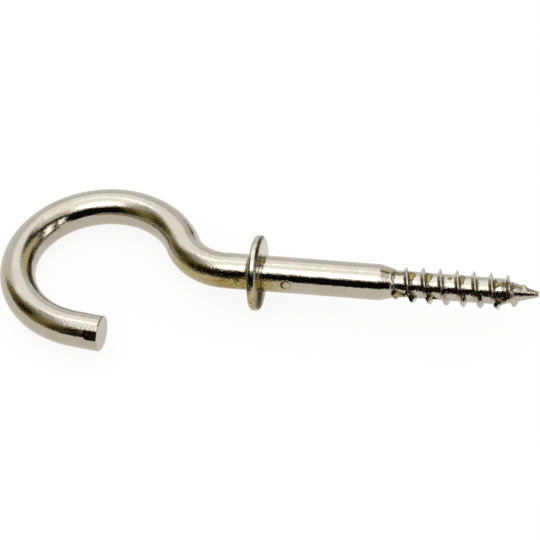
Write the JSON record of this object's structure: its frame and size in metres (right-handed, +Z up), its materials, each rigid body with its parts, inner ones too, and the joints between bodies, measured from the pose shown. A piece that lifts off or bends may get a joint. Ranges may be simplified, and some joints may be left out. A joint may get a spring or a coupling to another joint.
{
  "type": "screw hook",
  "caption": "Open wire hook with a round collar and a wood-screw thread, screwed into wood to hang things from.",
  "frame": {"origin": "centre of the collar's seat, on the screw's axis", "axes": "+X along the screw towards its tip, +Y across the hook in its plane, +Z up from the table it lies on; the screw's axis tilts up 4.7 degrees from +X because the part rests on the collar's rim and the bowl"},
  "size_m": [0.0596, 0.0231, 0.0084],
  "materials": {
    "nickel_plate": "bright nickel plating on steel, with yellowed tarnish near the collar and in the thread"
  },
  "bodies": {
    "root": {"screw_hook": "nickel_plate"}
  },
  "joints": []
}
